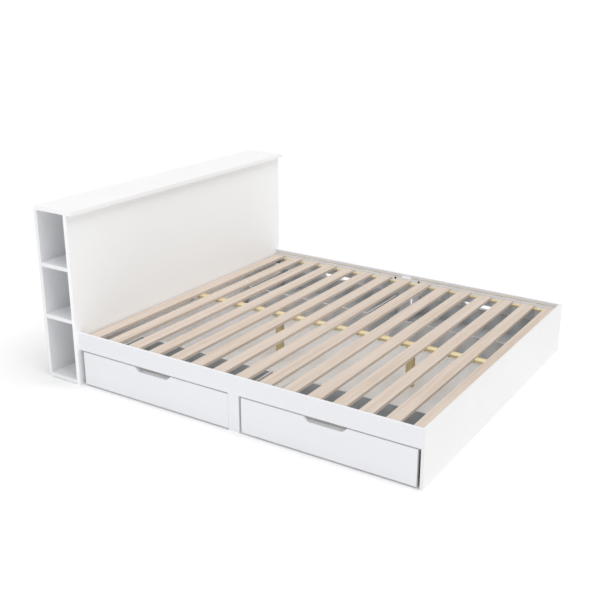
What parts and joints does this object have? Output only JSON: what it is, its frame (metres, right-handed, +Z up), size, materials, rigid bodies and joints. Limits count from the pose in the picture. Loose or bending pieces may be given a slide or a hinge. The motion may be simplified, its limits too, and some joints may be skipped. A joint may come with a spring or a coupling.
{
  "type": "platform bed with storage drawers",
  "caption": "Low platform bed with a slatted base, a bookcase headboard with open side niches, and drawers on castors that roll out of both sides.",
  "frame": {"origin": "on the floor, under the middle of the whole bed", "axes": "+X to the right as seen from the foot, +Y from the foot to the headboard, +Z up"},
  "size_m": [1.896, 2.297, 0.972],
  "materials": {
    "white_board": "satin white melamine facing on chipboard",
    "slat_wood": "planed, unfinished pale wood with straight grain",
    "pine": "planed, unfinished yellow pine",
    "steel": "zinc-plated",
    "castor_frame": "satin black",
    "wheel": "light grey nylon"
  },
  "bodies": {
    "bed_frame": {"headboard_front": "white_board", "headboard_back": "white_board", "headboard_top": "white_board", "headboard_bottom": "white_board", "headboard_shelves": "white_board", "headboard_partitions": "white_board", "foot_panel": "white_board", "side_panel_head_left": "white_board", "side_panel_head_right": "white_board", "side_panel_foot_left": "white_board", "side_panel_foot_right": "white_board", "inner_boards_left": "white_board", "inner_boards_right": "white_board", "mid_legs": "white_board", "slat_ledges": "pine", "centre_beam": "pine", "centre_legs": "pine", "slat_01": "slat_wood", "slat_02": "slat_wood", "slat_03": "slat_wood", "slat_04": "slat_wood", "slat_05": "slat_wood", "slat_06": "slat_wood", "slat_07": "slat_wood", "slat_08": "slat_wood", "slat_09": "slat_wood", "slat_10": "slat_wood", "slat_11": "slat_wood", "slat_12": "slat_wood", "slat_13": "slat_wood", "slat_14": "slat_wood", "slat_15": "slat_wood", "cam_locks": "steel", "brackets": "steel", "bracket_screws": "steel", "ledge_screws": "steel"},
    "drawer_left_head": {"drawer_left_head_front": "white_board", "drawer_left_head_walls": "white_board", "drawer_left_head_bottom": "white_board", "drawer_left_head_castors": "castor_frame"},
    "drawer_left_foot": {"drawer_left_foot_front": "white_board", "drawer_left_foot_walls": "white_board", "drawer_left_foot_bottom": "white_board", "drawer_left_foot_castors": "castor_frame"},
    "drawer_right_head": {"drawer_right_head_front": "white_board", "drawer_right_head_walls": "white_board", "drawer_right_head_bottom": "white_board", "drawer_right_head_castors": "castor_frame"},
    "drawer_right_foot": {"drawer_right_foot_front": "white_board", "drawer_right_foot_walls": "white_board", "drawer_right_foot_bottom": "white_board", "drawer_right_foot_castors": "castor_frame"},
    "drawer_left_head_wheels_outer": {"drawer_left_head_wheels_outer": "wheel"},
    "drawer_left_head_wheels_inner": {"drawer_left_head_wheels_inner": "wheel"},
    "drawer_left_foot_wheels_outer": {"drawer_left_foot_wheels_outer": "wheel"},
    "drawer_left_foot_wheels_inner": {"drawer_left_foot_wheels_inner": "wheel"},
    "drawer_right_head_wheels_outer": {"drawer_right_head_wheels_outer": "wheel"},
    "drawer_right_head_wheels_inner": {"drawer_right_head_wheels_inner": "wheel"},
    "drawer_right_foot_wheels_outer": {"drawer_right_foot_wheels_outer": "wheel"},
    "drawer_right_foot_wheels_inner": {"drawer_right_foot_wheels_inner": "wheel"}
  },
  "joints": [
    {"name": "drawer_left_head_slide", "type": "slide", "parent": "bed_frame", "child": "drawer_left_head", "axis": [-1, 0, 0], "range_m": [0, 0.38]},
    {"name": "drawer_left_foot_slide", "type": "slide", "parent": "bed_frame", "child": "drawer_left_foot", "axis": [-1, 0, 0], "range_m": [0, 0.38]},
    {"name": "drawer_right_head_slide", "type": "slide", "parent": "bed_frame", "child": "drawer_right_head", "axis": [1, 0, 0], "range_m": [0, 0.38]},
    {"name": "drawer_right_foot_slide", "type": "slide", "parent": "bed_frame", "child": "drawer_right_foot", "axis": [1, 0, 0], "range_m": [0, 0.38]},
    {"name": "drawer_left_head_wheels_outer_spin", "type": "hinge", "parent": "drawer_left_head", "child": "drawer_left_head_wheels_outer", "pos_m": [-0.854, 0.4045, 0.016], "axis": [0, 1, 0], "range_deg": [-1365, 0]},
    {"name": "drawer_left_head_wheels_inner_spin", "type": "hinge", "parent": "drawer_left_head", "child": "drawer_left_head_wheels_inner", "pos_m": [-0.57, 0.4045, 0.016], "axis": [0, 1, 0], "range_deg": [-1365, 0]},
    {"name": "drawer_left_foot_wheels_outer_spin", "type": "hinge", "parent": "drawer_left_foot", "child": "drawer_left_foot_wheels_outer", "pos_m": [-0.854, -0.64875, 0.016], "axis": [0, 1, 0], "range_deg": [-1365, 0]},
    {"name": "drawer_left_foot_wheels_inner_spin", "type": "hinge", "parent": "drawer_left_foot", "child": "drawer_left_foot_wheels_inner", "pos_m": [-0.57, -0.64875, 0.016], "axis": [0, 1, 0], "range_deg": [-1365, 0]},
    {"name": "drawer_right_head_wheels_outer_spin", "type": "hinge", "parent": "drawer_right_head", "child": "drawer_right_head_wheels_outer", "pos_m": [0.854, 0.4045, 0.016], "axis": [0, 1, 0], "range_deg": [0, 1365]},
    {"name": "drawer_right_head_wheels_inner_spin", "type": "hinge", "parent": "drawer_right_head", "child": "drawer_right_head_wheels_inner", "pos_m": [0.57, 0.4045, 0.016], "axis": [0, 1, 0], "range_deg": [0, 1365]},
    {"name": "drawer_right_foot_wheels_outer_spin", "type": "hinge", "parent": "drawer_right_foot", "child": "drawer_right_foot_wheels_outer", "pos_m": [0.854, -0.64875, 0.016], "axis": [0, 1, 0], "range_deg": [0, 1365]},
    {"name": "drawer_right_foot_wheels_inner_spin", "type": "hinge", "parent": "drawer_right_foot", "child": "drawer_right_foot_wheels_inner", "pos_m": [0.57, -0.64875, 0.016], "axis": [0, 1, 0], "range_deg": [0, 1365]}
  ],
  "couplings": [
    {"joint": "drawer_left_head_wheels_outer_spin", "follows": "drawer_left_head_slide", "rad_per_m": -62.5},
    {"joint": "drawer_left_head_wheels_inner_spin", "follows": "drawer_left_head_slide", "rad_per_m": -62.5},
    {"joint": "drawer_left_foot_wheels_outer_spin", "follows": "drawer_left_foot_slide", "rad_per_m": -62.5},
    {"joint": "drawer_left_foot_wheels_inner_spin", "follows": "drawer_left_foot_slide", "rad_per_m": -62.5},
    {"joint": "drawer_right_head_wheels_outer_spin", "follows": "drawer_right_head_slide", "rad_per_m": 62.5},
    {"joint": "drawer_right_head_wheels_inner_spin", "follows": "drawer_right_head_slide", "rad_per_m": 62.5},
    {"joint": "drawer_right_foot_wheels_outer_spin", "follows": "drawer_right_foot_slide", "rad_per_m": 62.5},
    {"joint": "drawer_right_foot_wheels_inner_spin", "follows": "drawer_right_foot_slide", "rad_per_m": 62.5}
  ]
}
